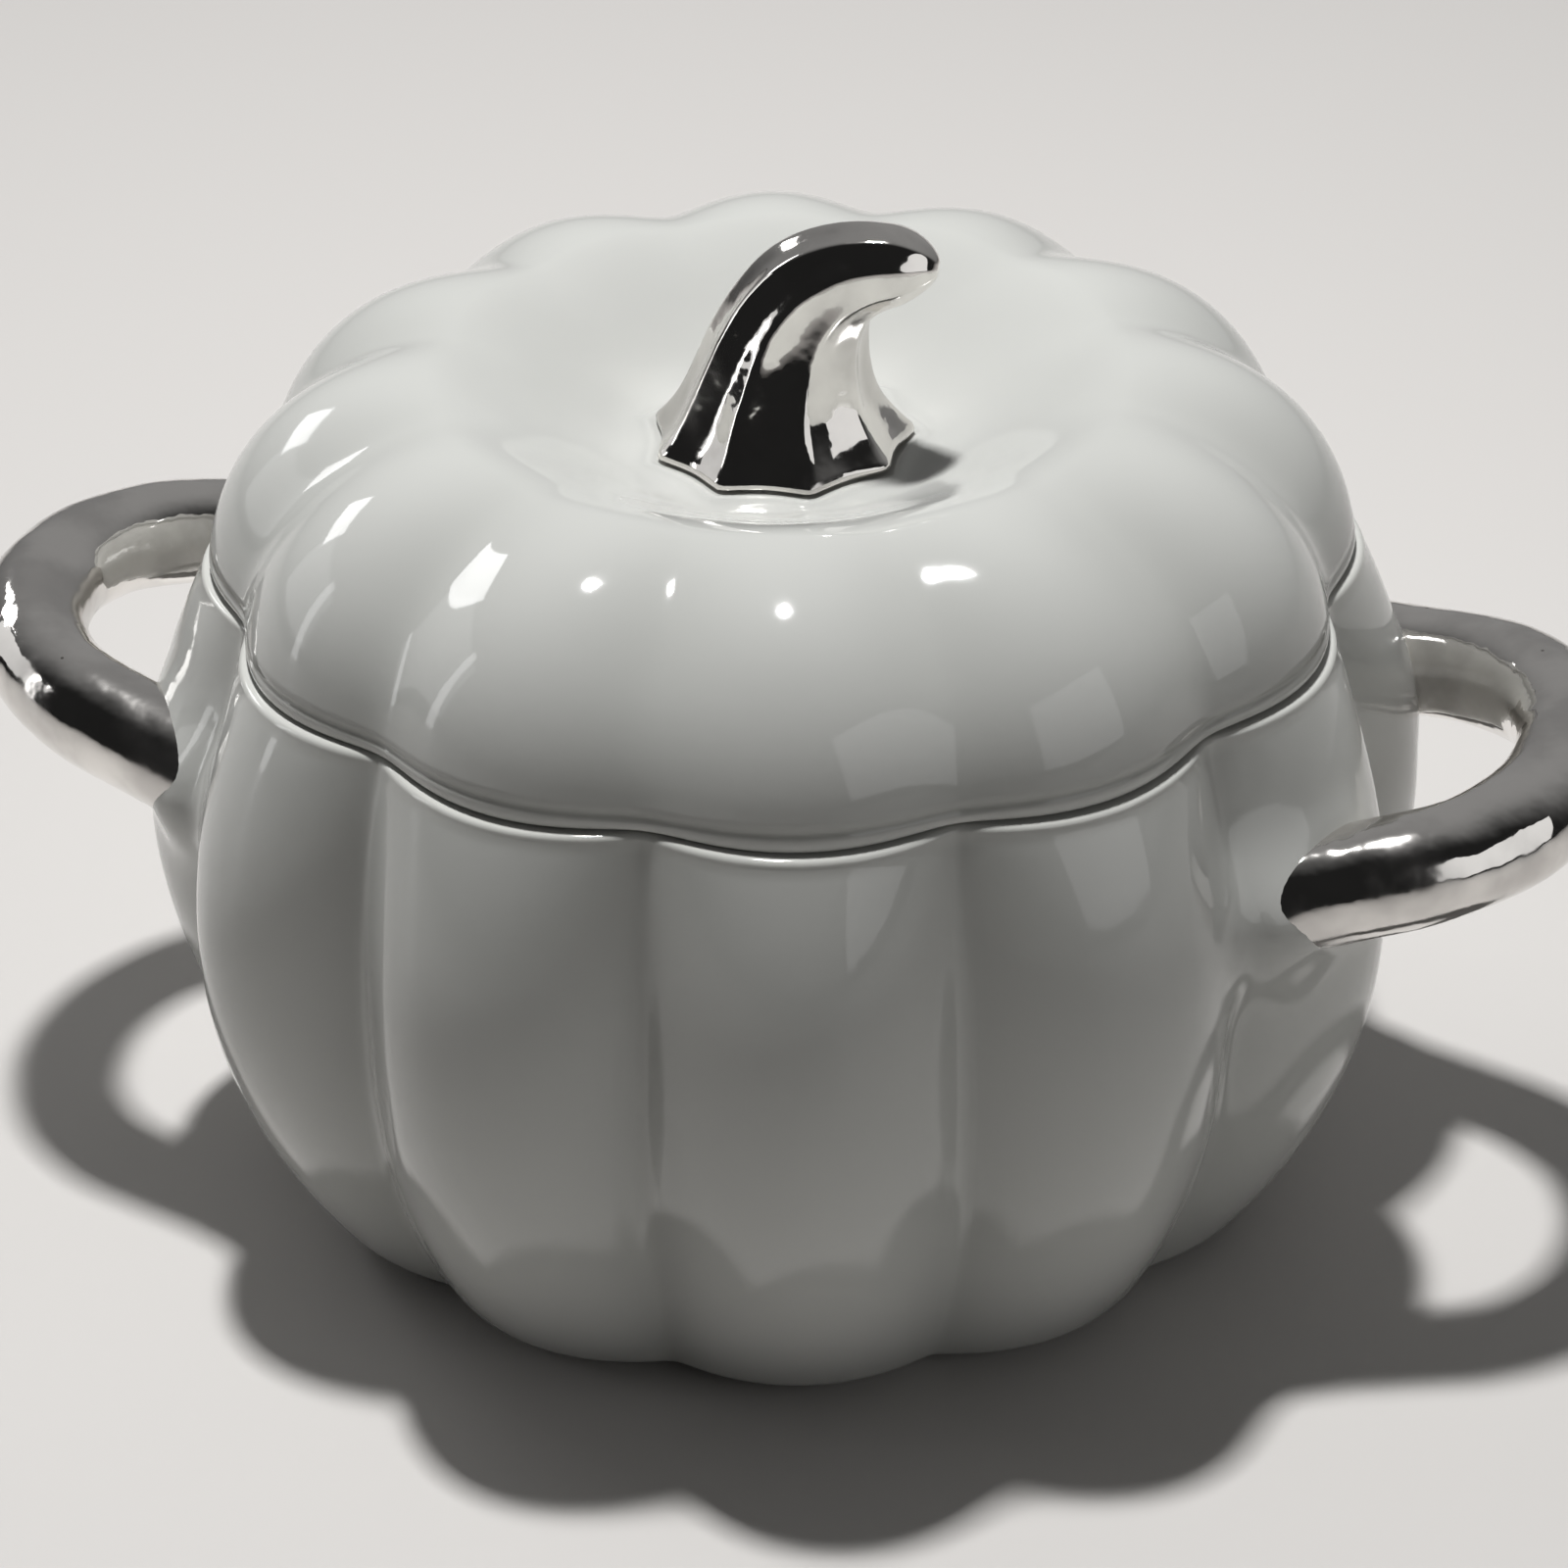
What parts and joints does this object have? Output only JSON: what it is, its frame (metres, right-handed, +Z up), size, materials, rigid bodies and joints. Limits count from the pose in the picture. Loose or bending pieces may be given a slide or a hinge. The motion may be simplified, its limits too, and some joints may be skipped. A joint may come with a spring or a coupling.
{
  "type": "lidded pumpkin tureen",
  "caption": "Pumpkin-shaped glazed ceramic tureen with a lift-off lobed lid, a curled silver stem knob and silver loop handles.",
  "frame": {"origin": "on the table, on the bowl's axis, under the foot ring", "axes": "+Z up along the bowl's axis; +X to the handle that the stem curls towards; +Y along the far side"},
  "size_m": [0.261, 0.1948, 0.1584],
  "materials": {
    "glaze": "pale sage-grey gloss glaze",
    "lustre": "mirror platinum lustre fired over the glaze"
  },
  "bodies": {
    "pot": {"bowl": "glaze", "handle_left": "lustre", "handle_right": "lustre"},
    "cover": {"lid": "glaze", "stem_knob": "lustre"}
  },
  "joints": [
    {"name": "lid_lift", "type": "slide", "parent": "pot", "child": "cover", "axis": [0, 0, 1], "range_m": [0, 0.14]}
  ]
}
